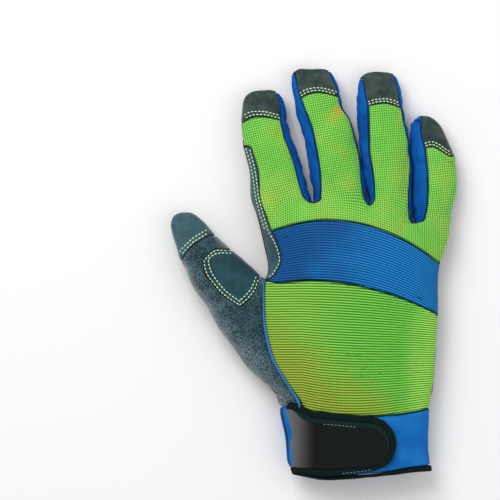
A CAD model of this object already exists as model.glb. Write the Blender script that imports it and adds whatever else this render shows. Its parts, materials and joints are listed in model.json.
"""The fishing glove's cloth, seams, stitching and strap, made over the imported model, and its studio.

Every size is in metres in the model's own frame: the origin on the flat of the palm, +Y to the fingertips,
+Z out of the hand's back and -X to the thumb. Tables of places are in millimetres.
"""
import json
import math
from collections import namedtuple

import bmesh
import bpy
import numpy as np
from mathutils import Matrix, Vector, noise
from mathutils.bvhtree import BVHTree
from mathutils.kdtree import KDTree

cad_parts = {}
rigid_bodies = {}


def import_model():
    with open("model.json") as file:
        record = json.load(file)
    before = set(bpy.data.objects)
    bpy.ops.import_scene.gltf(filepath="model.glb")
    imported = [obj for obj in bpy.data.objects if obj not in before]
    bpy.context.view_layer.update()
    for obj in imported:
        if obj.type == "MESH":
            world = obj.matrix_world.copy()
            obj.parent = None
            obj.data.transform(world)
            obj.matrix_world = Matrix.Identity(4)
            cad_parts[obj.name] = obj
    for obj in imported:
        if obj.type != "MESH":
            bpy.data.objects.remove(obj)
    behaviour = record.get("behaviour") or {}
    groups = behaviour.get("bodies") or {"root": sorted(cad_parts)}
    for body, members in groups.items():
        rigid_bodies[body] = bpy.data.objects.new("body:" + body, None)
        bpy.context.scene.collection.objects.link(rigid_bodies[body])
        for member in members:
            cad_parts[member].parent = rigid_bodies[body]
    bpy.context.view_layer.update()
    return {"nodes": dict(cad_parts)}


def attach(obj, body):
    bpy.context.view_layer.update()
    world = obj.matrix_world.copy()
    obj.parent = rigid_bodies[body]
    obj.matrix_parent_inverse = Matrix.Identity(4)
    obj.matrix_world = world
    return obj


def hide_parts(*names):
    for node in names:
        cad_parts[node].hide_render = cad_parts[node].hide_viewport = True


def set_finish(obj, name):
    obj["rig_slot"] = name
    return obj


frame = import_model()

bl_info = {
    "name": "Fishing glove",
    "version": (1, 0, 0),
    "blender": (4, 5, 0),
    "location": "View3D > Sidebar > Glove",
    "description": "Cloth panels, seams, stitching, wrist strap and studio of a fishing glove",
    "category": "Object",
}

MM = 0.001

# places on the glove, in millimetres

Line = namedtuple("Line", "root tip")
FINGER_LINES = {
    "index": Line((-36.9, 53.1), (-51.5, 118.0)),
    "middle": Line((-5.9, 53.1), (-19.9, 131.5)),
    "ring": Line((23.7, 53.1), (18.1, 130.3)),
    "little": Line((52.1, 42.6), (45.6, 104.6)),
}

# the edges that the ribs follow, from the thumb's side to the outer side
BAND_TOP = [(-43.9, 37.9), (-33.1, 43.8), (-16.4, 44.9), (0.6, 43.8), (17.6, 39.7), (33.9, 32.1),
            (51.8, 19.2)]
BAND_FOOT = [(-49.1, 8.1), (-33.1, 9.2), (-16.4, 9.5), (0.6, 8.1), (17.6, 3.4), (33.9, -1.9), (50.1, -10.1)]
BACK_TOP = [(-49.1, 9.0), (-33.1, 9.3), (-16.4, 9.2), (0.6, 8.4), (17.6, 6.4), (33.9, 3.6), (50.1, 0.5)]
BACK_FOOT = [(-28.1, -66.0), (-16.4, -68.4), (0.6, -69.7), (14.0, -68.9), (33.9, -66.2), (46.8, -64.5)]

# how the worn cloth has settled: where a place of the plain walls lies, and how far it slides in x and y
SETTLED = [
    # the thumb's tip, its seam, and its edge towards the fingers
    (-95.1, 49.1, 1.5, 0.3), (-87.6, 45.1, 1, 1), (-84, 40.9, 0.9, 0.9), (-99.3, 24.5, 1.1, -2.1),
    (-97, 29, 1.6, -2.6), (-92.9, 33.5, 1.8, -2.7), (-87.8, 35.9, 1, -2.3), (-80.6, 36.4, 1.2, -0.2),
    (-67.1, 22.6, 3.5, -0.1), (-59.1, 15.1, 1.8, 0.6), (-49.7, 8.9, 0, 1.5),
    # the patch in the thumb's crotch
    (-75.6, 28.2, 4, -0.9), (-78, 26.9, 2.2, 1), (-83.2, 23.6, 0.6, 1.2), (-85.5, 21.9, -0.7, -1.5),
    (-80.3, 14.6, -4.2, -1.1), (-74.9, 7.7, -4, -1.6), (-70.3, 2.4, -2.9, -2), (-65, -4, 0.4, -1.4),
    (-62.6, -0.7, 1.7, -2.1), (-60.2, 2.8, 2.5, -2.3), (-57.7, 6.5, 2.7, -2), (-54.2, 11.5, 1.7, 0.5),
    # the thumb's outer edge, and its seam to the back of the hand, which stays
    (-97.9, 16.6, 1.5, 0.3), (-84.8, -7.4, 1.8, 0.7), (-70, -28, -1, 0.4), (-59.6, -37.5, -2.4, -0.1),
    (-54.6, -43.4, -2, -0.2), (-47.3, -55, 2.7, -0.4), (-50.4, 1, 0, 0), (-48, -12, 0, 0),
    (-45.6, -30, 0, 0), (-40.5, -46, 0.6, 0), (-36.2, -55, 1.2, 0), (-33.2, -60.4, 1.8, 0),
    # the patch at the index finger's side
    (-60.8, 87.4, -1, 1.2), (-54.5, 71.4, 0.6, 0), (-42.4, 30.8, -0.5, 0.1), (-40.6, 23.3, 0.1, -1.8),
    (-43.9, 15.9, 0.1, -1.7), (-46.8, 12.3, 0.2, -0.9), (-49.3, 16, 1.1, -0.2),
    # the index finger's tip
    (-59.8, 111.7, -2.4, 1.6), (-54.9, 117.7, -1.9, 1), (-48, 121, -0.5, -0.4), (-43.4, 120, 0, 0),
    (-40.2, 116.4, 0.8, -0.4), (-51, 106.4, 0, -1), (-39.6, 104.9, -0.9, -1.5), (-62.3, 103, -0.6, -1.1),
    (-63, 94, -0.2, 0),
    # the middle finger's tip and its outer edge
    (-31.6, 129.8, -0.5, 1.2), (-27.7, 132.1, -0.5, 0.8), (-18.5, 134.2, 0, -0.9),
    (-13.1, 132.8, 0.2, -0.9), (-28.9, 117.3, -0.3, -1.2), (-6.6, 117.7, -0.5, -0.8),
    (-17.5, 120.4, 0, -0.9), (-3.4, 109.3, -1.6, 0), (-1.7, 109.3, -2, 0), (-1.1, 103.9, -0.1, 0),
    (0.8, 103.9, -1.1, 0), (1.6, 96.6, -0.3, 0), (3.3, 96.6, -1.1, 0), (3.9, 88.5, -0.5, 0),
    (5.4, 88.5, -1, 0), (4.9, 82.4, 0, 0), (7, 82.4, -1, 0),
    # the ring finger's tip and its outer edge
    (10.6, 131.3, 0, -0.5), (15.2, 131.2, 0, -0.2), (20.8, 132.6, -0.3, -1.3), (25.4, 130.2, -0.3, -0.4),
    (9.9, 111.5, 0, 0), (32.3, 110.8, -1.1, 0), (32.9, 101.6, -1, 0), (34.2, 101.6, -1.3, 0),
    (34, 91.5, -0.1, 0), (35.5, 92.3, -0.9, 0), (34.6, 81.3, 0.2, 0), (36, 83.1, -0.6, 0),
    # the little finger's tip
    (42.2, 106.8, 0, -1.1), (48.6, 106.4, -0.4, -1.6), (53.3, 101.6, -0.3, -1.1), (36.3, 99.7, -0.3, -0.3),
    (37.6, 103, 0.4, -0.7), (40.6, 103, 0.3, 0.3), (42.9, 87.9, 0.1, -0.7), (50.4, 87.7, 0, -0.8),
    (58.5, 83.8, 0.5, -2),
    # the hem, the strap's lower edge, and the wrist's side below the thumb
    (-32.9, -101.2, 0, -0.4), (-21.9, -103.2, 0, -0.7), (-12.2, -104.8, 0, -0.3), (-5.2, -105.2, 0, 0.7),
    (8.6, -105.3, 0, 2), (19.7, -104.9, 0.1, 2.6), (30.8, -103.9, 0.2, 2.5), (39.1, -102.1, 0.3, 1.7),
    (46.5, -99.5, 0.7, 0.2), (-12.2, -101.6, 0, -1), (8.6, -101.4, 0, 0.3), (19.7, -98.6, 0, 0.6),
    (-25, -92, 0, 0), (0, -92, 0, 0), (25, -90, 0, 0), (44, -90, 0, 0), (-38.1, -65.3, -1.9, 0),
    (-37.1, -76.4, -3.6, 0), (-37, -84.5, -3.2, 0), (-36.7, -90.2, -2.4, 0), (-34.4, -97.2, -1.8, -0.2),
]
SETTLE_REACH = 26.0     # mm within which a place draws its surroundings along
GIVE = 0.002            # how little a place may miss its slide, so that the whole stays smooth

# corners that are cut round: the index finger's side patch and the thumb's patch
PATCH_CORNERS = [(-57.5, 86.5), (-83.2, 23.6), (-85.5, 21.9), (-65.0, -4.0)]

# where the knit glints gold on a fold: plan place, size and strength
GLINTS = [(-6.4, 108.5, 5.5, 0.85), (-9.5, 104.5, 8.0, 0.3), (-41.5, 95.0, 9.0, 0.15),
          (29.0, 103.0, 6.0, 0.25), (-2.0, 66.0, 9.0, 0.2), (-47.0, 56.0, 8.0, 0.2)]

Row = namedtuple("Row", "name side nodes offsets points")
BACK, PALM = 1, -1
STITCH_ROWS = [
    Row("index cap", BACK, ("index_tip_cap",), (0.4, 1.9),
        [(-62.3, 103.3), (-59.6, 104.5), (-55.2, 105.9), (-49.7, 106.5), (-44.0, 105.7), (-39.6, 104.9)]),
    Row("middle cap", BACK, ("middle_tip_cap",), (0.4, 1.9),
        [(-28.9, 117.3), (-24.6, 119.5), (-18.5, 120.5), (-11.5, 119.1), (-6.6, 117.7)]),
    Row("ring cap", BACK, ("ring_tip_cap",), (0.4, 1.9),
        [(9.9, 111.5), (14.3, 112.7), (20.0, 112.9), (26.1, 111.5), (30.4, 110.1)]),
    Row("little cap", BACK, ("little_tip_cap",), (0.4, 1.9),
        [(42.9, 87.9), (46.6, 88.7), (50.4, 87.7), (54.9, 85.3), (58.5, 83.8)]),
    Row("index side", BACK, ("index_side_patch",), (-0.9,),
        [(-61.0, 87.4), (-57.5, 86.5), (-56.0, 79.9), (-54.9, 71.4), (-53.6, 63.5), (-52.4, 57.1),
         (-49.8, 47.7), (-48.4, 43.2), (-46.3, 37.6), (-42.4, 30.8), (-40.6, 23.3), (-43.9, 15.9),
         (-49.6, 8.8)]),
    Row("index side second", BACK, ("index_side_patch",), (-2.6,),
        [(-57.5, 86.5), (-56.0, 79.9), (-54.9, 71.4), (-53.6, 63.5), (-52.4, 57.1), (-49.8, 47.7),
         (-48.4, 43.2), (-47.0, 39.0)]),
    Row("thumb tip", BACK, ("thumb_tip_cap",), (0.9, 2.6),
        [(-99.3, 24.5), (-97.0, 29.0), (-92.9, 33.5), (-90.5, 35.0), (-87.8, 35.9), (-84.9, 36.4),
         (-82.2, 36.7), (-80.4, 36.6)]),
    Row("thumb patch", BACK, ("thumb_crotch_patch", "thumb_back_panel"), (0.8, 2.6),
        [(-74.6, 29.0), (-78.0, 26.9), (-83.2, 23.6), (-85.0, 21.4), (-80.3, 14.6), (-74.9, 7.7),
         (-70.3, 2.4), (-66.2, -2.5), (-65.0, -3.3), (-63.9, -2.5), (-62.6, -0.7), (-60.2, 2.8),
         (-57.7, 6.5), (-54.6, 11.0)]),
    Row("strap upper edge", BACK, ("wrist_strap", "strap_binding"), (0.0,),
        [(-16.5, -73.3), (-9.0, -73.8), (-3.0, -74.4), (3.5, -75.1)]),
    Row("strap lower edge", BACK, ("wrist_strap", "strap_binding"), (0.0,),
        [(-5.5, -102.0), (1.0, -101.4), (7.0, -100.3), (13.5, -98.6)]),
    Row("index palm", PALM, ("index_tip_cap",), (0.9, 2.6),
        [(-62.1, 91.9), (-54.7, 92.9), (-48.4, 93.8), (-42.1, 94.6), (-37.4, 95.2)]),
    Row("middle palm", PALM, ("middle_tip_cap",), (0.9, 2.6),
        [(-27.4, 104.9), (-22.7, 105.8), (-16.4, 107.0), (-10.1, 108.2), (-5.5, 109.0)]),
    Row("ring palm", PALM, ("ring_tip_cap",), (0.9, 2.6),
        [(8.5, 104.5), (13.0, 104.6), (19.1, 104.8), (25.2, 105.0), (29.6, 105.1)]),
    Row("little palm", PALM, ("little_tip_cap",), (0.9, 2.6),
        [(37.9, 78.5), (42.2, 79.1), (47.8, 79.7), (53.5, 80.4), (58.0, 81.0)]),
    Row("thumb palm", PALM, ("thumb_tip_cap",), (0.9, 2.6),
        [(-98.5, 23.4), (-94.8, 25.8), (-90.0, 29.2), (-85.5, 32.3), (-81.0, 35.6)]),
    Row("palm wave", PALM, ("palm_panel",), (0.0, 1.8),
        [(-44.0, 41.0), (-36.9, 39.6), (-27.2, 39.0), (-8.9, 48.1), (6.9, 41.4), (21.2, 45.7), (41.6, 38.0),
         (53.8, 41.5), (59.3, 39.0)]),
    Row("outer patch", PALM, ("outer_palm_patch",), (0.9, 2.5),
        [(46.0, 21.3), (43.1, 20.3), (37.9, 17.8), (35.3, 12.6), (37.3, 4.6), (40.5, -3.8), (42.7, -8.9),
         (45.2, -15.0)]),
    Row("heel", PALM, ("palm_panel",), (0.9, 2.6),
        [(-41.9, -19.4), (-31.0, -16.0), (-20.0, -12.5), (-8.5, -9.9), (-3.0, -9.5), (7.1, -10.3),
         (12.2, -11.9), (20.3, -16.2), (28.4, -23.0), (37.2, -33.9), (44.0, -45.0)]),
]


class Settling:
    """A smooth slide of the cloth in plan, as told at the places of a table and nothing far from them."""

    def __init__(self, table, reach):
        self.places, slides = np.hsplit(np.array(table), 2)
        self.reach = reach
        self.weights = np.linalg.solve(self.pull(self.places) + np.eye(len(table)) * GIVE, slides)

    def pull(self, spots):
        far = np.linalg.norm(spots[:, None, :] - self.places[None, :, :], axis=2) / self.reach
        near = np.clip(1 - far, 0, 1)
        return near ** 4 * (4 * far + 1)

    def moved(self, spots):
        """Plan places in millimetres, after they have settled."""
        return spots + self.pull(spots) @ self.weights


SETTLING = Settling(SETTLED, SETTLE_REACH)


def curve_through(points):
    """A smooth height over x through the points, level beyond the first and the last."""
    xs, ys = zip(*points)
    terms = np.polyfit(xs, ys, min(4, len(points) - 2))
    return lambda x: float(np.polyval(terms, min(max(x, xs[0]), xs[-1])))


class RibField:
    """Ribs that run side by side between a panel's top edge and its foot."""

    def __init__(self, top, foot):
        self.top, self.foot = curve_through(top), curve_through(foot)
        self.height = self.top(0) - self.foot(0)

    def rise(self, x, y):
        low, high = self.foot(x), self.top(x)
        return (y - low) / (high - low) * self.height

    def place(self, x, rise):
        low, high = self.foot(x), self.top(x)
        return low + rise / self.height * (high - low)


BAND_RIBS = RibField(BAND_TOP, BAND_FOOT)
BACK_RIBS = RibField(BACK_TOP, BACK_FOOT)


# cloth made from the model's own walls

FLAT_ENOUGH = math.radians(40)      # two triangles nearer to flat than this become one quad
SHARP = math.radians(48)            # edges that bend more than this keep a crease
PROBE = 0.5 * MM                    # how far off a wall the open air is looked for
CORNER_REACH = 4.5                  # mm round a corner that is cut round
SEAM_REACH = 6 * MM                 # the farthest that the distance to a seam is told
CALM_REACH = 4 * MM                 # folds grow from nothing at a seam to their height here
GROOVE_REACH = 1.1 * MM             # half the width of the groove that a row of stitches presses
RIB_SNAP = 0.11                     # share of a pitch within which a cut snaps to a vertex
KEPT_GAP = 0.94                     # share of its gap that a row keeps inside a tight bend
SPAN_STEPS = 12                     # steps of the curve from one point of a row to the next
ON_SKIN, FULL_SKIN, RIM_END = 0.4, 0.9, 0.985   # shares of the outer skin: its rim, its face, the rim's end
FACING = 0.15                       # how far a vertex has to face a row's side of the glove


def merged_walls(node):
    """A node's walls as a bmesh of quads, with its loose triangles merged and joined."""
    bm = bmesh.new()
    bm.from_mesh(frame["nodes"][node].data)
    bmesh.ops.remove_doubles(bm, verts=bm.verts, dist=1e-6)
    bmesh.ops.join_triangles(
        bm, faces=bm.faces, angle_face_threshold=FLAT_ENOUGH, angle_shape_threshold=math.pi
    )
    bm.normal_update()
    return bm


def whole_shell():
    """One tree of every node's walls, to ask what lies round a point."""
    whole = bmesh.new()
    for node in frame["nodes"].values():
        whole.from_mesh(node.data)
    tree = BVHTree.FromBMesh(whole)
    whole.free()
    return tree


SHELL = whole_shell()
ROUND_ABOUT = [Vector(d) for d in ((0, 0, 1), (0, 0, -1), (1, 0, 0), (-1, 0, 0))]


def in_the_open(place):
    """True outside the glove, where a way up, down or sideways is clear."""
    return any(SHELL.ray_cast(place, way)[0] is None for way in ROUND_ABOUT)


def soften_edges(bm, outer_crease, round_at=()):
    """Marks the wall's outer skin, and rounds its outer edges but not its inner ones."""
    crease = bm.edges.layers.float.new("crease_edge")
    outside = bm.verts.layers.float.new("outside")
    open_faces = {f: in_the_open(f.calc_center_median() + f.normal * PROBE) for f in bm.faces}
    for f, is_open in open_faces.items():
        if is_open:
            for v in f.verts:
                v[outside] = 1.0
    for e in bm.edges:
        if e.is_manifold and e.calc_face_angle() > SHARP:
            is_open = any(open_faces[f] for f in e.link_faces)
            e[crease] = outer_crease if is_open else 1.0
        if e.verts[0][outside] != e.verts[1][outside]:
            middle = (e.verts[0].co + e.verts[1].co).xy / 2 * 1000
            if any((middle - Vector(corner)).length < CORNER_REACH for corner in round_at):
                e[crease] = 0.0


def subdivided(bm, name, level):
    """The finished mesh of a bmesh after Subdivision Surface, as a new object at the origin."""
    mesh = bpy.data.meshes.new(name)
    bm.to_mesh(mesh)
    bm.free()
    obj = bpy.data.objects.new(name, mesh)
    bpy.context.scene.collection.objects.link(obj)
    rounding = obj.modifiers.new("rounding", "SUBSURF")
    rounding.levels = rounding.render_levels = level
    graph = bpy.context.evaluated_depsgraph_get()
    smooth = bpy.data.meshes.new_from_object(obj.evaluated_get(graph), depsgraph=graph)
    obj.modifiers.clear()
    obj.data = smooth
    bpy.data.meshes.remove(mesh)
    smooth.name = name
    return obj


def column(mesh, name, kind="FLOAT"):
    """A named attribute of the mesh's vertices, made if it isn't there."""
    return mesh.attributes.get(name) or mesh.attributes.new(name, kind, "POINT")


def read_skin(mesh):
    """Places, normals and the outer skin's share at each vertex, as arrays."""
    count = len(mesh.vertices)
    places, normals, outside = np.zeros(count * 3), np.zeros(count * 3), np.zeros(count)
    mesh.vertices.foreach_get("co", places)
    mesh.vertex_normals.foreach_get("vector", normals)
    mesh.attributes["outside"].data.foreach_get("value", outside)
    return places.reshape(-1, 3), normals.reshape(-1, 3), outside


def edge_distance(places, outside, reach):
    """How far each vertex of the outer skin lies from the panel's edge, at most reach."""
    rim = np.nonzero((outside > ON_SKIN) & (outside < RIM_END))[0]
    tree = KDTree(max(len(rim), 1))
    for i in rim:
        tree.insert(places[i], int(i))
    tree.balance()
    far = np.full(len(places), reach)
    if len(rim):
        for i in np.nonzero(outside > ON_SKIN)[0]:
            far[i] = min(reach, tree.find(places[i])[2])
    return far


def smooth_step(value, low, high):
    share = np.clip((value - low) / (high - low), 0.0, 1.0)
    return share * share * (3 - 2 * share)


def row_tree(rows, side):
    """A tree of the plan places of the plain walls that the stitch rows of one side of the glove pass."""
    places = [p for row in rows if row.side == side for gap in row.offsets
              for p in row_places(row, gap, 0.5, settled=False)]
    tree = KDTree(max(len(places), 1))
    for i, (x, y) in enumerate(places):
        tree.insert((x * MM, y * MM, 0), i)
    tree.balance()
    return tree


def row_places(row, gap, step, settled=True):
    """Evenly spaced plan places, in millimetres, along a row held gap to the left of its points."""
    fine = []
    pts = [Vector(p) for p in row.points]
    ends = [pts[0] * 2 - pts[1]] + pts + [pts[-1] * 2 - pts[-2]]
    for a, b, c, d in zip(ends, ends[1:], ends[2:], ends[3:]):
        for k in range(SPAN_STEPS):
            t = k / SPAN_STEPS
            fine.append(0.5 * (2 * b + (c - a) * t + (2 * a - 5 * b + 4 * c - d) * t * t
                               + (3 * b - a - 3 * c + d) * t ** 3))
    fine.append(pts[-1])
    shifted = []
    for i, p in enumerate(fine):
        along = (fine[min(i + 1, len(fine) - 1)] - fine[max(i - 1, 0)]).normalized()
        shifted.append(p + Vector((-along.y, along.x)) * gap)
    line = np.array([tuple(p) for p in fine])
    shifted = [p for p in shifted if np.linalg.norm(line - p, axis=1).min() >= abs(gap) * KEPT_GAP]
    if settled:
        shifted = [Vector(p) for p in SETTLING.moved(np.array(shifted))]
    found, need = [shifted[0]], step
    for a, b in zip(shifted, shifted[1:]):
        length = (b - a).length
        while length > need:
            a = a + (b - a) * (need / length)
            found.append(a)
            length = (b - a).length
            need = step
        need -= length
    return [tuple(p) for p in found]


def draw_in(obj, settings, folds=None, edge_depth=None):
    """Sinks a panel's edge into its seam, presses its stitch rows in and lifts its folds."""
    mesh = obj.data
    places, normals, outside = read_skin(mesh)
    edge = edge_distance(places, outside, SEAM_REACH)
    depth = settings.seam_depth if edge_depth is None else edge_depth
    sink = depth * np.clip(1 - edge / settings.seam_width, 0, 1) ** 2
    for side, tree in ROW_TREES.items():
        facing = np.nonzero((normals[:, 2] * side > FACING) & (outside > FULL_SKIN))[0]
        for i in facing:
            near = tree.find((places[i][0], places[i][1], 0))[2]
            if near is not None and near < GROOVE_REACH:
                sink[i] += settings.groove_depth * (1 - near / GROOVE_REACH)
    lift = np.zeros(len(places))
    if folds:
        calm = smooth_step(edge, 0.0, CALM_REACH)
        for i in np.nonzero(outside > ON_SKIN)[0]:
            lift[i] = folds(Vector(places[i]) * 1000) * MM * calm[i]
    moved = places + normals * ((lift - sink) * outside)[:, None]
    moved[:, :2] = SETTLING.moved(moved[:, :2] * 1000) * MM
    moved[:, 2] = np.maximum(moved[:, 2], 0.0)
    mesh.vertices.foreach_set("co", moved.ravel())
    column(mesh, "edge").data.foreach_set("value", edge * 1000)
    mesh.update()


def cut_ribs(bm, field, pitch, height):
    """Cuts loops at every rib's crest and valley, and raises the crests."""
    outside = bm.verts.layers.float["outside"]
    for v in bm.verts:
        v.co.y = field.rise(v.co.x * 1000, v.co.y * 1000)
    low, high = min(v.co.y for v in bm.verts), max(v.co.y for v in bm.verts)
    step = math.ceil(low / pitch * 2)
    while step * pitch / 2 < high:
        level = step * pitch / 2
        faces = [f for f in bm.faces if min(v.co.y for v in f.verts) < level < max(v.co.y for v in f.verts)
                 and any(v[outside] > 0.5 for v in f.verts)]
        geom = list({v for f in faces for v in f.verts}) + list({e for f in faces for e in f.edges}) + faces
        bmesh.ops.bisect_plane(bm, geom=geom, plane_co=(0, level, 0), plane_no=(0, 1, 0),
                               dist=pitch * RIB_SNAP, use_snap_center=True)
        step += 1
    for v in bm.verts:
        v.co.y = field.place(v.co.x * 1000, v.co.y) * MM
    bm.normal_update()
    for v in bm.verts:
        if v[outside] > FULL_SKIN:
            rise = field.rise(v.co.x * 1000, v.co.y * 1000)
            v.co += v.normal * (height * math.cos(2 * math.pi * rise / pitch))


def gentle(size, height, seed=0.0):
    """Low swells of cloth: size across and height, in millimetres."""
    return lambda p: height * noise.noise(p / size + Vector((seed, seed * 1.7, 3.1)))


def cloth_panel(node, settings, level=2, crease=0.42, folds=None, ribs=None, edge_depth=None, round_at=()):
    """One of the glove's panels, finely made over its wall."""
    bm = merged_walls(node)
    soften_edges(bm, crease, round_at=round_at)
    obj = subdivided(bm, node + "_cloth", level)
    if ribs:
        bm = bmesh.new()
        bm.from_mesh(obj.data)
        cut_ribs(bm, ribs, settings.rib_pitch * 1000, settings.rib_height)
        bm.to_mesh(obj.data)
        bm.free()
    draw_in(obj, settings, folds, edge_depth)
    obj.data.shade_smooth()
    return obj


def worn(obj, material, *nodes):
    """Gives a piece its finish, and sets it in place of its nodes."""
    obj.data.materials.clear()
    obj.data.materials.append(material)
    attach(obj, "root")
    if nodes:
        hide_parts(*nodes)
        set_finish(obj, nodes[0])
    return obj


# the finishes


class Number:
    """A number of a finish that varies over the surface, and takes part in sums."""

    def __init__(self, finish, socket):
        self.finish, self.socket = finish, socket

    def __add__(self, other):
        return self.finish.maths("ADD", self, other)

    def __sub__(self, other):
        return self.finish.maths("SUBTRACT", self, other)

    def __rsub__(self, other):
        return self.finish.maths("SUBTRACT", other, self)

    def __mul__(self, other):
        return self.finish.maths("MULTIPLY", self, other)

    __radd__ = __add__
    __rmul__ = __mul__


class Finish:
    """A material and the nodes that paint it."""

    def __init__(self, name, **constants):
        self.material = bpy.data.materials.new(name)
        self.material.use_nodes = True
        self.tree = self.material.node_tree
        self.shader = next(n for n in self.tree.nodes if n.type == "BSDF_PRINCIPLED")
        for socket, value in constants.items():
            self.shader.inputs[socket.replace("_", " ")].default_value = value

    def node(self, kind, settings=None, inputs=None):
        """A node of a type, with its settings first and then its sockets' values or links."""
        made = self.tree.nodes.new("ShaderNode" + kind)
        for key, value in (settings or {}).items():
            setattr(made, key, value)
        for key, value in (inputs or {}).items():
            self.join(value, made.inputs[key])
        return made

    def join(self, value, socket):
        if isinstance(value, Number):
            value = value.socket
        if isinstance(value, bpy.types.NodeSocket):
            self.tree.links.new(value, socket)
        elif isinstance(value, (int, float)) or hasattr(value, "__len__") and len(value) == 3 \
                and len(socket.default_value) == 3:
            socket.default_value = value
        else:
            socket.default_value = (*value[:3], 1.0)

    def maths(self, operation, *values):
        made = self.node("Math", {"operation": operation}, dict(enumerate(values)))
        return Number(self, made.outputs[0])

    def wave(self, value, pitch, shift=0.0):
        """From 0 to 1 and back over each pitch."""
        turned = value * (2 * math.pi / pitch) + shift
        return self.maths("SINE", turned) * 0.5 + 0.5

    def between(self, value, low, high):
        """0 below low and 1 above high, smooth in between."""
        made = self.node("MapRange", {"interpolation_type": "SMOOTHSTEP"},
                         {"Value": value, "From Min": low, "From Max": high})
        return Number(self, made.outputs["Result"])

    def place(self):
        """Where the surface is, in millimetres."""
        here = self.node("TexCoord").outputs["Object"]
        return self.node("VectorMath", {"operation": "SCALE"}, {0: here, "Scale": 1000.0}).outputs["Vector"]

    def parts(self, vector):
        split = self.node("SeparateXYZ", inputs={0: vector})
        return [Number(self, split.outputs[k]) for k in range(3)]

    def attribute(self, name, output="Vector"):
        return self.node("Attribute", {"attribute_name": name, "attribute_type": "GEOMETRY"}).outputs[output]

    def edge(self):
        return Number(self, self.attribute("edge", "Fac"))

    def speckle(self, where, size, detail=2.0, roughness=0.5, stretch=(1.0, 1.0, 1.0), turn=0.0):
        """Cloudy noise from 0 to 1, with clouds of about size millimetres."""
        mapped = self.node("Mapping", inputs={"Vector": where, "Scale": tuple(s / size for s in stretch),
                                              "Rotation": (0.0, 0.0, turn)}).outputs[0]
        made = self.node("TexNoise", inputs={"Vector": mapped, "Scale": 1.0, "Detail": detail,
                                             "Roughness": roughness})
        return Number(self, made.outputs["Fac"])

    def spot(self, where, x, y, size):
        """1 at a plan place in millimetres and 0 beyond size of it."""
        far = self.node("VectorMath", {"operation": "DISTANCE"},
                        {0: self.flat(where), 1: (x, y, 0.0)}).outputs["Value"]
        return 1 - self.between(Number(self, far), 0.0, size)

    def flat(self, where):
        """A place seen in plan, with no height."""
        made = self.node("VectorMath", {"operation": "MULTIPLY"}, {0: where, 1: (1.0, 1.0, 0.0)})
        return made.outputs["Vector"]

    def mix(self, share, first, second):
        """The first colour at 0 and the second at 1."""
        made = self.node("Mix", {"data_type": "RGBA"}, {0: share, 6: first, 7: second})
        return made.outputs[2]

    def bump(self, height, depth):
        """A normal from a height from 0 to 1 that stands for depth millimetres."""
        made = self.node("Bump", inputs={"Height": height, "Strength": 1.0, "Distance": depth * MM})
        return made.outputs[0]

    def seamed(self, colour, seam, near, far, share=0.8):
        """A colour that turns to the seam's from far millimetres off a seam to near."""
        return self.mix((1 - self.between(self.edge(), near, far)) * share, colour, seam)

    def clouds(self, where, size, detail=3.0):
        """Soft clouds from 0 to 1."""
        return self.between(self.speckle(where, size, detail), 0.3, 0.7)

    def wear(self, colour, roughness=None, normal=None):
        self.join(colour, self.shader.inputs["Base Color"])
        if roughness is not None:
            self.join(roughness, self.shader.inputs["Roughness"])
        if normal is not None:
            self.join(normal, self.shader.inputs["Normal"])
        return self.material


COLUMN_SHARE = 0.94     # the mesh knit's columns stand a little closer than its rows
TAPE_WIDTH = 2.7        # mm of the strap's face that its binding covers along the upper edge
WEB_LEAN, WEB_EDGE, WEB_FOOT = 0.128, 54.3, 100.4   # the slanted edge on the little tip, and where it starts


def rubber_finish(colours):
    """Smooth moulded face with a soft sheen, paler at the wrist's side and taped along its upper edge."""
    f = Finish("strap_rubber_face", Specular_IOR_Level=0.12)
    place = f.place()
    x, y, _ = f.parts(place)
    bend = f.between(f.speckle(place, 30.0) * 3 - x, 22.0, 39.0)
    fine = f.speckle(place, 0.6, 2.0)
    width = f.between(y, -93.0, -76.0) * f.between(x, -36.0, -27.0)
    off = f.edge() - width * TAPE_WIDTH
    tape = 1 - f.between(off, -0.15, 0.15)
    colour = f.mix(bend * 0.65, colours.rubber, colours.rubber_sheen)
    colour = f.mix(tape, colour, colours.binding)
    colour = f.mix(f.between(off, -0.2, 0.1) * (1 - f.between(off, 0.1, 0.6)) * width * 0.8, colour,
                   colours.binding_shade)
    return f.wear(colour, 0.34 + tape * 0.4 + fine * 0.08, f.bump(fine * (0.1 + tape), 0.1))


def linear(code):
    """A hexadecimal screen colour as linear red, green and blue."""
    parts = [int(code[k:k + 2], 16) / 255 for k in (0, 2, 4)]
    return tuple(c / 12.92 if c <= 0.04045 else ((c + 0.055) / 1.055) ** 2.4 for c in parts)


def knit_finish(colours, cloth):
    """Green mesh knit: fine rows and columns of open loops."""
    f = Finish("lime_knit_cloth", Sheen_Weight=0.08, Sheen_Roughness=0.5, Specular_IOR_Level=0.2)
    place, (across, along, _) = f.place(), f.parts(f.attribute("weave"))
    x, y, _ = f.parts(place)
    pitch = cloth.knit_pitch * 1000
    rows, columns = f.wave(along, pitch), f.wave(across, pitch * COLUMN_SHARE)
    patchy = f.clouds(place, 13.0, 2.0)
    holes = f.between(rows * columns, 0.12, 0.7)
    clouds = f.between(f.speckle(place, 24.0, 2.5) - (y - 40) * 0.0022, 0.36, 0.62)
    base = f.mix(clouds * 0.85, colours.lime, colours.lime_sun)
    gold = f.between(f.speckle(place, 15.0, detail=1.5, turn=0.6), 0.60, 0.80)
    base = f.mix(gold * 0.45, base, colours.gold)
    for spot_x, spot_y, size, share in GLINTS:
        base = f.mix(f.spot(place, spot_x, spot_y, size) * share, base, colours.glint)
    colour = f.mix((1 - rows) * (1 - columns) * 0.5, base, colours.lime_pale)
    colour = f.mix(holes * (0.62 + patchy * 0.36), colour, colours.lime_shade)
    colour = f.seamed(colour, colours.seam, 0.15, 0.9, 0.85)
    return f.wear(colour, 0.62 + holes * 0.2, f.bump(1 - rows * columns, 0.3))


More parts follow.
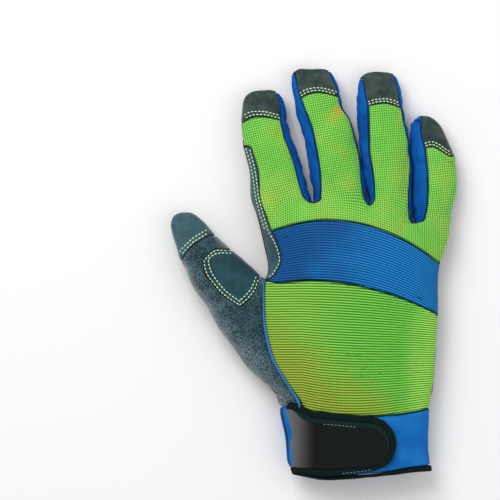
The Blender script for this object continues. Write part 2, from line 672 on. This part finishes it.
def rib_finish(name, light, second, dark, seam, cloth, pale, beads, sunny=None, gold=None, fresh=None):
    """Ribbed knit: raised cords of small pale beads with a dark ground between them."""
    f = Finish(name, Specular_IOR_Level=0.08)
    place, (across, along, _) = f.place(), f.parts(f.attribute("weave"))
    pitch = cloth.rib_pitch * 1000
    crest = f.wave(along, pitch, math.pi / 2)
    bead = f.wave(across, cloth.bead_pitch * 1000)
    x, y, _ = f.parts(place)
    base = f.mix(f.between(f.speckle(place, 26.0, 2.0) * 55 - x, 8.0, 58.0), light, second)
    if sunny:
        sun = f.between(f.speckle(place, 26.0, 2.0) * 50 - x, 10.0, 60.0)
        base = f.mix(sun * 0.85, base, sunny)
        base = f.mix(f.between(x + f.speckle(place, 20.0) * 16 - y * 0.15, 40.0, 60.0), base, fresh)
        for lean, low, high, share in ((-0.55, 34.0, 70.0, 0.9), (0.6, 80.0, 102.0, 0.6)):
            corner = f.between(x * lean - y * 0.8 + f.speckle(place, 22.0) * 22.0, low, high)
            base = f.mix(corner * share, base, gold)
    colour = f.mix(f.between(crest, 0.45, 1.0) * bead * beads, base, pale)
    colour = f.mix(f.between(1 - crest, 0.3, 0.85) * 0.92, colour, dark)
    colour = f.seamed(colour, seam, 0.15, 0.9, 0.85)
    return f.wear(colour, 0.6, f.bump(bead * crest, 0.08))


def stretch_finish(name, light, dark, seam, grain=0.06):
    """Smooth stretch cloth with a faint grain."""
    f = Finish(name, Specular_IOR_Level=0.08)
    place = f.place()
    clouds = f.clouds(place, 11.0)
    fine = f.speckle(place, 0.5, 2.0)
    colour = f.mix(clouds * 0.75 + fine * 0.15, light, dark)
    colour = f.seamed(colour, seam, 0.1, 0.7)
    return f.wear(colour, 0.66 + fine * 0.12, f.bump(fine, grain))


def suede_finish(name, light, dark, grain=0.09, seam=None, side=None):
    """Short nap that catches the light in soft clouds, darker along its seams.

    The colour side, where it is given, covers the part of the little finger's tip next to the ring finger.
    """
    f = Finish(name, Sheen_Weight=0.45, Sheen_Roughness=0.35, Specular_IOR_Level=0.15)
    place = f.place()
    clouds = f.between(f.speckle(place, 8.0, 3.0, 0.6), 0.3, 0.72)
    fine = f.speckle(place, 0.5, 3.0, 0.7)
    colour = f.mix(clouds * 0.75 + f.between(fine, 0.35, 0.7) * 0.5 - 0.15, dark, light)
    if seam:
        colour = f.seamed(colour, seam, 0.1, 0.9)
    if side:
        x, y, _ = f.parts(place)
        across = x + y * WEB_LEAN
        top = f.between(y, WEB_FOOT, WEB_FOOT + 0.4)
        colour = f.mix((1 - f.between(across, WEB_EDGE + 0.4, WEB_EDGE + 1.2)) * top, colour, seam)
        colour = f.mix((1 - f.between(across, WEB_EDGE, WEB_EDGE + 0.3)) * top, colour, side)
    return f.wear(colour, 0.86, f.bump(fine, grain))


def terry_finish(colours):
    """Fuzzy looped cloth, mottled in short strokes along the thumb."""
    f = Finish("thumb_terry", Sheen_Weight=0.5, Sheen_Roughness=0.4, Specular_IOR_Level=0.1)
    place = f.place()
    x, y, _ = f.parts(place)
    strokes = f.speckle(place, 0.75, 3.0, 0.7, stretch=(1.9, 0.7, 1.0), turn=0.57)
    clouds = f.speckle(place, 8.0, 2.0)
    inner = f.between(x * 0.75 + y * 0.6 + clouds * 8, -66.0, -48.0)
    tufts = f.between(strokes * 0.85 + clouds * 0.22 - inner * 0.06, 0.45, 0.64)
    colour = f.mix(tufts, colours.terry_shade, f.mix(inner, colours.terry_pale, colours.terry))
    colour = f.seamed(colour, colours.seam, 0.1, 0.9, 0.7)
    return f.wear(colour, 0.95, f.bump(strokes, 0.4))


def palm_finish(name, light, dark, cloth):
    """Synthetic leather with a fine diagonal twill."""
    f = Finish(name, Specular_IOR_Level=0.16)
    place = f.place()
    x, y, _ = f.parts(place)
    lines = f.wave(x * 0.8 + y * 0.6, cloth.twill_pitch * 1000)
    clouds = f.clouds(place, 20.0)
    colour = f.mix(lines * 0.55 + clouds * 0.3, dark, light)
    return f.wear(colour, 0.55 + clouds * 0.12, f.bump(lines, 0.12))


def plain_finish(name, light, dark, size, rough, grain, **constants):
    """One colour with a fine grain: thread, piping, bindings and rubber."""
    f = Finish(name, **constants)
    place = f.place()
    fine = f.speckle(place, size, 2.0)
    return f.wear(f.mix(f.between(fine, 0.35, 0.65), dark, light), rough, f.bump(fine, grain))


# settings a user would change


def colour_setting(name, code):
    return bpy.props.FloatVectorProperty(
        name=name, description=f"Colour of the {name.lower()}", subtype="COLOR", size=3,
        default=linear(code), min=0.0, max=1.0)


def length_setting(name, description, default):
    return bpy.props.FloatProperty(
        name=name, description=description, default=default, unit="LENGTH", min=0.0)


class GloveCloth(bpy.types.PropertyGroup):
    rib_pitch: length_setting("Rib pitch", "From one rib to the next", 1.52 * MM)
    bead_pitch: length_setting("Bead pitch", "From one bead of a rib to the next", 1.17 * MM)
    rib_height: length_setting("Rib height", "How far a rib's crest stands out", 0.16 * MM)
    knit_pitch: length_setting("Knit pitch", "From one loop of the mesh knit to the next", 1.36 * MM)
    twill_pitch: length_setting("Twill pitch", "From one line of the palm's twill to the next", 1.05 * MM)
    seam_depth: length_setting("Seam depth", "How far a panel's edge sinks into its seam", 0.45 * MM)
    seam_width: length_setting("Seam width", "Over how much of a panel its edge sinks", 1.6 * MM)
    groove_depth: length_setting("Groove depth", "How far a row of stitches presses the cloth in", 0.22 * MM)


COLOURS = {
    "lime": ("Green knit", "62C23E"),
    "lime_deep": ("Green knit's deeper clouds", "66C242"),
    "lime_sun": ("Green knit's yellow clouds", "8CC444"),
    "lime_fresh": ("Green knit's fresh edge", "A4EC60"),
    "lime_pale": ("Green knit's brightest loops", "BCEC78"),
    "gold": ("Knit's golden clouds", "A69A28"),
    "glint": ("Knit's golden glints", "E0B020"),
    "lime_shade": ("Green knit's hollows", "216A16"),
    "rib_blue": ("Band's crests", "147CC4"),
    "rib_blue_deep": ("Band's deeper clouds", "064688"),
    "rib_blue_pale": ("Band's brightest loops", "48A6E4"),
    "rib_blue_shade": ("Band's hollows", "053566"),
    "blue": ("Stretch panels", "0A5AA8"),
    "blue_shade": ("Stretch panels' shade", "04458C"),
    "cuff": ("Cuff", "1A70B8"),
    "suede": ("Suede caps", "42524F"),
    "suede_shade": ("Suede caps' shade", "212F2C"),
    "thumb": ("Thumb's tip", "44616A"),
    "thumb_shade": ("Thumb tip's shade", "314C56"),
    "crotch": ("Thumb patch", "2B4E59"),
    "crotch_shade": ("Thumb patch's shade", "1C3841"),
    "terry": ("Thumb's tufts", "5E8088"),
    "terry_pale": ("Thumb's outer tufts", "84989C"),
    "terry_shade": ("Thumb's ground", "18303A"),
    "black": ("Palm", "1A1A1E"),
    "black_shade": ("Palm's shade", "08080A"),
    "heel": ("Heel", "857877"),
    "heel_shade": ("Heel's shade", "655956"),
    "binding": ("Bindings", "0E2322"),
    "binding_shade": ("Bindings' shade", "050D0C"),
    "rubber": ("Strap's face", "0E1212"),
    "rubber_sheen": ("Strap's paler end", "7C7A7C"),
    "thread": ("Stitches on the back", "DCFCC4"),
    "palm_thread": ("Stitches on the palm", "B4D04A"),
    "dark_thread": ("Stitches on the strap", "5C706C"),
    "seam": ("Seams", "06231C"),
}


class GloveColours(bpy.types.PropertyGroup):
    __annotations__ = {key: colour_setting(*about) for key, about in COLOURS.items()}


class GloveStitch(bpy.types.PropertyGroup):
    length: length_setting("Stitch length", "Length of one stitch", 1.85 * MM)
    pitch: length_setting("Stitch pitch", "From one stitch to the next", 2.15 * MM)
    thickness: length_setting("Stitch thickness", "Thickness of the sewing thread", 0.64 * MM)


class GloveStudio(bpy.types.PropertyGroup):
    view_width: length_setting("View width", "Width that the camera sees on the floor", 0.2925)
    camera_height: length_setting("Camera height", "Height of the camera above the floor", 2.0)
    key_power: bpy.props.FloatProperty(name="Key light", description="Power of the main light",
                                       default=12.0, unit="POWER", min=0.0)
    sky: bpy.props.FloatProperty(name="Sky", description="Strength of the even light from all round",
                                 default=0.55, min=0.0)


# the pieces


def weave_attribute(obj, map_place):
    """Stores the place of each vertex in the cloth's own rows and columns, in millimetres."""
    mesh = obj.data
    values = []
    for v in mesh.vertices:
        values.extend(map_place(v.co * 1000))
    column(mesh, "weave", "FLOAT_VECTOR").data.foreach_set("vector", values)


def finger_weave(p):
    """Across and along the nearest finger, running into the band's own rows below the webs."""
    best = None
    for line in FINGER_LINES.values():
        root, tip = Vector(line.root), Vector(line.tip)
        along = (tip - root).normalized()
        off = Vector((p.x, p.y)) - root
        across, up = off.x * along.y - off.y * along.x, off.dot(along)
        if best is None or abs(across) < abs(best[0]):
            best = (across, up, root, along)
    across, up, root, _ = best
    arch = BAND_RIBS.top
    finger = Vector((across + root.x, up + root.y - arch(root.x)))
    hand = Vector((p.x, p.y - arch(p.x)))
    share = float(smooth_step(up, -8.0, 14.0))
    both = hand.lerp(finger, share)
    return both.x, both.y, 0.0


def rib_weave(field):
    return lambda p: (p.x, field.rise(p.x, p.y), 0.0)


def settings_of(context):
    scene = context.scene
    return scene.glove_cloth, scene.glove_colours, scene.glove_stitch


class GLOVE_OT_finger_backs(bpy.types.Operator):
    """Make the green knit over the fingers"""
    bl_idname = "glove.finger_backs"
    bl_label = "Finger backs"

    def execute(self, context):
        cloth, colours, _ = settings_of(context)
        obj = cloth_panel("finger_back_panel", cloth, 3, folds=gentle(14, 0.9, 1.0), round_at=PATCH_CORNERS)
        weave_attribute(obj, finger_weave)
        worn(obj, knit_finish(colours, cloth), "finger_back_panel")
        return {"FINISHED"}


class GLOVE_OT_ribbed_panels(bpy.types.Operator):
    """Make the blue band and the lower panel of the hand's back, with their ribs"""
    bl_idname = "glove.ribbed_panels"
    bl_label = "Ribbed panels"

    def execute(self, context):
        cloth, colours, _ = settings_of(context)
        band = cloth_panel("knuckle_band", cloth, 2, folds=gentle(25, 0.7, 2.0), ribs=BAND_RIBS)
        weave_attribute(band, rib_weave(BAND_RIBS))
        finish = rib_finish("blue_rib", colours.rib_blue, colours.rib_blue_deep, colours.rib_blue_shade,
                            colours.seam, cloth, colours.rib_blue_pale, beads=0.35)
        worn(band, finish, "knuckle_band")
        back = cloth_panel("hand_back_panel", cloth, 2, folds=gentle(22, 0.9, 3.0), ribs=BACK_RIBS)
        weave_attribute(back, rib_weave(BACK_RIBS))
        finish = rib_finish("lime_rib", colours.lime, colours.lime_deep, colours.lime_shade, colours.seam,
                            cloth, colours.lime_pale, beads=0.6, sunny=colours.lime_sun, gold=colours.gold,
                            fresh=colours.lime_fresh)
        worn(back, finish, "hand_back_panel")
        return {"FINISHED"}


class GLOVE_OT_stretch_panels(bpy.types.Operator):
    """Make the blue panels between the fingers and the blue cuff"""
    bl_idname = "glove.stretch_panels"
    bl_label = "Stretch panels"

    def execute(self, context):
        cloth, colours, _ = settings_of(context)
        finish = stretch_finish("blue_stretch_cloth", colours.blue, colours.blue_shade, colours.seam)
        cuff = stretch_finish("blue_cuff_cloth", colours.cuff, colours.blue, colours.seam, 0.1)
        for node in ("fourchette_index_middle", "fourchette_middle_ring", "fourchette_ring_little"):
            worn(cloth_panel(node, cloth, 3, folds=gentle(5, 0.9, 4.0)), finish, node)
        worn(cloth_panel("wrist_cuff", cloth, 2, folds=gentle(20, 0.7, 5.0)), cuff, "wrist_cuff")
        return {"FINISHED"}


class GLOVE_OT_suede_pieces(bpy.types.Operator):
    """Make the suede caps and the patch at the index finger's side"""
    bl_idname = "glove.suede_pieces"
    bl_label = "Suede pieces"

    def execute(self, context):
        cloth, colours, _ = settings_of(context)
        finish = suede_finish("slate_suede_cloth", colours.suede, colours.suede_shade, seam=colours.seam)
        side = suede_finish("side_suede_cloth", colours.thumb, colours.thumb_shade, seam=colours.seam)
        little = suede_finish("little_suede_cloth", colours.suede, colours.suede_shade, seam=colours.seam,
                              side=colours.blue)
        for node in ("index_tip_cap", "middle_tip_cap", "ring_tip_cap", "little_tip_cap", "index_side_patch"):
            worn(cloth_panel(node, cloth, 3, folds=gentle(9, 0.5, 6.0), round_at=PATCH_CORNERS),
                 {"index_side_patch": side, "little_tip_cap": little}.get(node, finish), node)
        return {"FINISHED"}


class GLOVE_OT_thumb_pieces(bpy.types.Operator):
    """Make the thumb's fuzzy back, its patch and its suede tip"""
    bl_idname = "glove.thumb_pieces"
    bl_label = "Thumb pieces"

    def execute(self, context):
        cloth, colours, _ = settings_of(context)
        suede = suede_finish("thumb_suede", colours.thumb, colours.thumb_shade, seam=colours.seam)
        patch = suede_finish("thumb_patch_suede", colours.crotch, colours.crotch_shade, grain=0.05,
                             seam=colours.seam)
        worn(cloth_panel("thumb_back_panel", cloth, 3, folds=gentle(16, 0.7, 7.0), round_at=PATCH_CORNERS),
             terry_finish(colours), "thumb_back_panel")
        worn(cloth_panel("thumb_crotch_patch", cloth, 3, folds=gentle(12, 0.5, 8.0), round_at=PATCH_CORNERS),
             patch, "thumb_crotch_patch")
        worn(cloth_panel("thumb_tip_cap", cloth, 2, folds=gentle(10, 0.6, 9.0)), suede, "thumb_tip_cap")
        return {"FINISHED"}


class GLOVE_OT_palm_pieces(bpy.types.Operator):
    """Make the black palm, its outer patch, the thumb's palm side and the heel"""
    bl_idname = "glove.palm_pieces"
    bl_label = "Palm pieces"

    def execute(self, context):
        cloth, colours, _ = settings_of(context)
        black = palm_finish("black_palm_cloth", colours.black, colours.black_shade, cloth)
        for node in ("palm_panel", "outer_palm_patch", "thumb_palm_panel"):
            worn(cloth_panel(node, cloth, 2, folds=gentle(13, 0.8, 10.0)), black, node)
        heel = suede_finish("grey_heel_cloth", colours.heel, colours.heel_shade, grain=0.07)
        worn(cloth_panel("heel_panel", cloth, 2, folds=gentle(15, 0.7, 11.0)), heel, "heel_panel")
        return {"FINISHED"}


# how the strap has settled, in millimetres: over which places, and how far
SEWN_ACROSS, SEWN_TOP, SEWN_FOOT = (12.0, 38.0), (-84.0, -66.0), (84.0, 99.0)
SEWN_IN, SEWN_IN_MORE = 3.1, 0.65
RIM_SWELL = 0.3 * MM    # the strap's face and its binding swell towards each other
CORNER_ACROSS, CORNER_ALONG, CORNER_UP, CORNER_LIFT = (22.0, 39.0), (-88.0, -67.0), 4.6, 0.7
LOWER_ACROSS, LOWER_ALONG, LOWER_DOWN, LOWER_LIFT = (-12.0, 2.0), (86.0, 100.0), 1.5, 0.3


def settle_strap(obj):
    """Draws the sewn end in from the wrist's side, lifts its upper corner and lowers the lower edge."""
    mesh = obj.data
    places = read_skin(mesh)[0]
    x, y = places[:, 0] * 1000, places[:, 1] * 1000
    corner = smooth_step(-x, *CORNER_ACROSS) * smooth_step(y, *CORNER_ALONG)
    low = smooth_step(-y, *LOWER_ALONG) * smooth_step(-x, *LOWER_ACROSS)
    ends = smooth_step(y, *SEWN_TOP) + smooth_step(-y, *SEWN_FOOT)
    places[:, 0] += smooth_step(-x, *SEWN_ACROSS) * (SEWN_IN + ends * SEWN_IN_MORE) * MM
    places[:, 1] += (corner * CORNER_UP - low * LOWER_DOWN) * MM
    places[:, 2] += (corner * CORNER_LIFT + low * LOWER_LIFT) * MM
    mesh.vertices.foreach_set("co", places.ravel())
    return obj


class GLOVE_OT_strap_and_trim(bpy.types.Operator):
    """Make the wrist strap, the bindings and the blue piping"""
    bl_idname = "glove.strap_and_trim"
    bl_label = "Strap and trim"

    def execute(self, context):
        cloth, colours, _ = settings_of(context)
        rubber = rubber_finish(colours)
        binding = plain_finish("dark_binding_tape", colours.binding, colours.binding_shade, 0.35, 0.8, 0.12,
                               Specular_IOR_Level=0.08)
        piping = plain_finish("blue_piping_cord", colours.rib_blue, colours.blue, 0.5, 0.5, 0.04)
        for node, level, finish in (("wrist_strap", 3, rubber), ("strap_binding", 2, binding)):
            worn(settle_strap(cloth_panel(node, cloth, level, edge_depth=-RIM_SWELL)), finish, node)
        worn(cloth_panel("cuff_binding", cloth, 2, edge_depth=0.0), binding, "cuff_binding")
        worn(cloth_panel("side_piping", cloth, 2, crease=0.0, edge_depth=0.0), piping, "side_piping")
        return {"FINISHED"}


STEEPEST = 2.7 * MM                 # a stitch that would rise more than this is left out
DROP_HEIGHT = 60 * MM               # where places are let fall from, well clear of the glove
THREAD_SIDES = 6
# shares of a stitch's length along it, and of its thickness there
THREAD_PROFILE = [(-0.5, 0.0), (-0.38, 0.75), (0.0, 1.0), (0.38, 0.75), (0.5, 0.0)]
THREAD_DIP = 0.9        # share of its thickness that a stitch dips at its ends
THREAD_RISE = 0.22      # share of its thickness that its middle lies above the cloth


def thread_shape(length, thickness):
    """One stitch: a short rounded thread that dips at its ends, along x."""
    bm = bmesh.new()
    profile = [bm.verts.new((s * length, w * thickness / 2, 0)) for s, w in THREAD_PROFILE]
    edges = [bm.edges.new(pair) for pair in zip(profile, profile[1:])]
    bmesh.ops.spin(bm, geom=profile + edges, cent=(0, 0, 0), axis=(1, 0, 0), angle=2 * math.pi,
                   steps=THREAD_SIDES, use_merge=True, use_duplicate=False)
    bmesh.ops.remove_doubles(bm, verts=bm.verts, dist=1e-6)
    bmesh.ops.recalc_face_normals(bm, faces=bm.faces)
    for v in bm.verts:
        v.co.z -= thickness * THREAD_DIP * (2 * v.co.x / length) ** 2
    mesh = bpy.data.meshes.new("one_stitch")
    bm.to_mesh(mesh)
    bm.free()
    return mesh


def lie_on(place, side, tree):
    """Where a plan place in millimetres meets the glove from the side that shows it."""
    start = Vector((place[0] * MM, place[1] * MM, DROP_HEIGHT * side))
    return tree.ray_cast(start, Vector((0, 0, -side)))


class GLOVE_OT_stitching(bpy.types.Operator):
    """Sew the rows of stitches"""
    bl_idname = "glove.stitching"
    bl_label = "Stitching"

    def execute(self, context):
        _, colours, stitch = settings_of(context)
        finishes = {key: plain_finish(name, colour, colour, 0.3, 0.6, 0.05) for key, name, colour in (
            (BACK, "pale_thread", colours.thread), ("dark", "dark_thread", colours.dark_thread),
            (PALM, "palm_thread", colours.palm_thread))}
        one = thread_shape(stitch.length, stitch.thickness)
        skin, owners = bmesh.new(), []
        for obj in [o for o in bpy.data.objects if o.name.endswith("_cloth")]:
            skin.from_mesh(obj.data)
            owners.extend([obj["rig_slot"]] * (len(skin.faces) - len(owners)))
        tree = BVHTree.FromBMesh(skin)
        skin.free()
        for row in STITCH_ROWS:
            parts, count = bmesh.new(), 0
            for gap in row.offsets:
                half = stitch.pitch * 500
                places = [lie_on(p, row.side, tree) for p in row_places(row, gap, half)]
                for a, b, c in zip(places[::2], places[1::2], places[2::2]):
                    if None in (a[0], b[0], c[0]) or owners[b[2]] not in row.nodes:
                        continue
                    if abs(a[0].z - c[0].z) > STEEPEST:
                        continue
                    along = (c[0] - a[0]).normalized()
                    up = (b[1] - along * b[1].dot(along)).normalized()
                    turn = Matrix((along, up.cross(along), up)).transposed().to_4x4()
                    at = Matrix.Translation(b[0] + up * stitch.thickness * THREAD_RISE) @ turn
                    before = len(parts.verts)
                    parts.from_mesh(one)
                    parts.verts.ensure_lookup_table()
                    bmesh.ops.transform(parts, matrix=at, verts=parts.verts[before:])
                    count += 1
            mesh = bpy.data.meshes.new(row.name)
            parts.to_mesh(mesh)
            parts.free()
            if not count:
                raise RuntimeError(f"no stitch of the row {row.name} lies on {row.nodes}")
            obj = bpy.data.objects.new("stitches_" + row.name.replace(" ", "_"), mesh)
            context.scene.collection.objects.link(obj)
            mesh.shade_smooth()
            worn(obj, finishes["dark" if row.name.startswith("strap") else row.side])
        return {"FINISHED"}


FLOOR_SIZE = 3.0
FLOOR_HEIGHT = -0.6 * MM            # just under the lowest cloth
FLOOR_TONE = 0.88
LAMPS = (("key", (-0.5, 0.75, 1.0), 0.9, 1.0), ("fill", (0.8, -0.2, 0.9), 1.0, 0.25))
VIEW_CENTRE = (-0.0585, 0.0274)     # the plan place under the camera


class GLOVE_OT_studio(bpy.types.Operator):
    """Set the pale floor, the soft lights and the camera"""
    bl_idname = "glove.studio"
    bl_label = "Studio"

    def execute(self, context):
        studio, scene = context.scene.glove_studio, context.scene
        bm = bmesh.new()
        bmesh.ops.create_grid(bm, x_segments=1, y_segments=1, size=FLOOR_SIZE)
        bmesh.ops.translate(bm, verts=bm.verts, vec=(0, 0, FLOOR_HEIGHT))
        mesh = bpy.data.meshes.new("floor")
        bm.to_mesh(mesh)
        bm.free()
        floor = bpy.data.objects.new("floor", mesh)
        scene.collection.objects.link(floor)
        f = Finish("pale_floor", Roughness=0.9, Specular_IOR_Level=0.1)
        mesh.materials.append(f.wear((FLOOR_TONE,) * 3))
        world = scene.world or bpy.data.worlds.new("studio")
        scene.world = world
        world.use_nodes = True
        sky = next(n for n in world.node_tree.nodes if n.type == "BACKGROUND")
        sky.inputs["Color"].default_value = (1, 1, 1, 1)
        sky.inputs["Strength"].default_value = studio.sky
        for name, place, size, share in LAMPS:
            lamp = bpy.data.lights.new(name, "AREA")
            lamp.energy, lamp.size = studio.key_power * share, size
            holder = bpy.data.objects.new(name, lamp)
            holder.location = place
            holder.rotation_euler = (Vector((0, 0, 0)) - Vector(place)).to_track_quat("-Z", "Y").to_euler()
            scene.collection.objects.link(holder)
        camera = bpy.data.cameras.new("camera")
        camera.lens = camera.sensor_width * studio.camera_height / studio.view_width
        holder = bpy.data.objects.new("camera", camera)
        holder.location = (*VIEW_CENTRE, studio.camera_height)
        scene.collection.objects.link(holder)
        scene.camera = holder
        scene.view_settings.view_transform = "Standard"
        return {"FINISHED"}


class GLOVE_PT_panel(bpy.types.Panel):
    """The glove's settings and the steps that make it"""
    bl_label = "Fishing glove"
    bl_idname = "GLOVE_PT_panel"
    bl_space_type = "VIEW_3D"
    bl_region_type = "UI"
    bl_category = "Glove"

    def draw(self, context):
        for group in (context.scene.glove_cloth, context.scene.glove_colours, context.scene.glove_stitch,
                      context.scene.glove_studio):
            box = self.layout.box()
            for name in group.__annotations__:
                box.prop(group, name)
        for step in STEPS:
            self.layout.operator(step.bl_idname)


SETTINGS = {"glove_cloth": GloveCloth, "glove_colours": GloveColours, "glove_stitch": GloveStitch,
            "glove_studio": GloveStudio}
STEPS = (GLOVE_OT_studio, GLOVE_OT_finger_backs, GLOVE_OT_ribbed_panels, GLOVE_OT_stretch_panels,
         GLOVE_OT_suede_pieces, GLOVE_OT_thumb_pieces, GLOVE_OT_palm_pieces, GLOVE_OT_strap_and_trim,
         GLOVE_OT_stitching)
ROW_TREES = {side: row_tree(STITCH_ROWS, side) for side in (BACK, PALM)}


def register():
    for group in SETTINGS.values():
        bpy.utils.register_class(group)
    for name, group in SETTINGS.items():
        setattr(bpy.types.Scene, name, bpy.props.PointerProperty(type=group))
    for step in STEPS + (GLOVE_PT_panel,):
        bpy.utils.register_class(step)


def unregister():
    for step in (GLOVE_PT_panel,) + STEPS[::-1]:
        bpy.utils.unregister_class(step)
    for name in SETTINGS:
        delattr(bpy.types.Scene, name)
    for group in SETTINGS.values():
        bpy.utils.unregister_class(group)


def main():
    for o in [o for o in bpy.data.objects if o.name in ("Cube", "Light", "Camera")]:
        bpy.data.objects.remove(o)
    register()
    for step in STEPS:
        folder, name = step.bl_idname.split(".")
        getattr(getattr(bpy.ops, folder), name)()


if __name__ == "__main__":
    main()
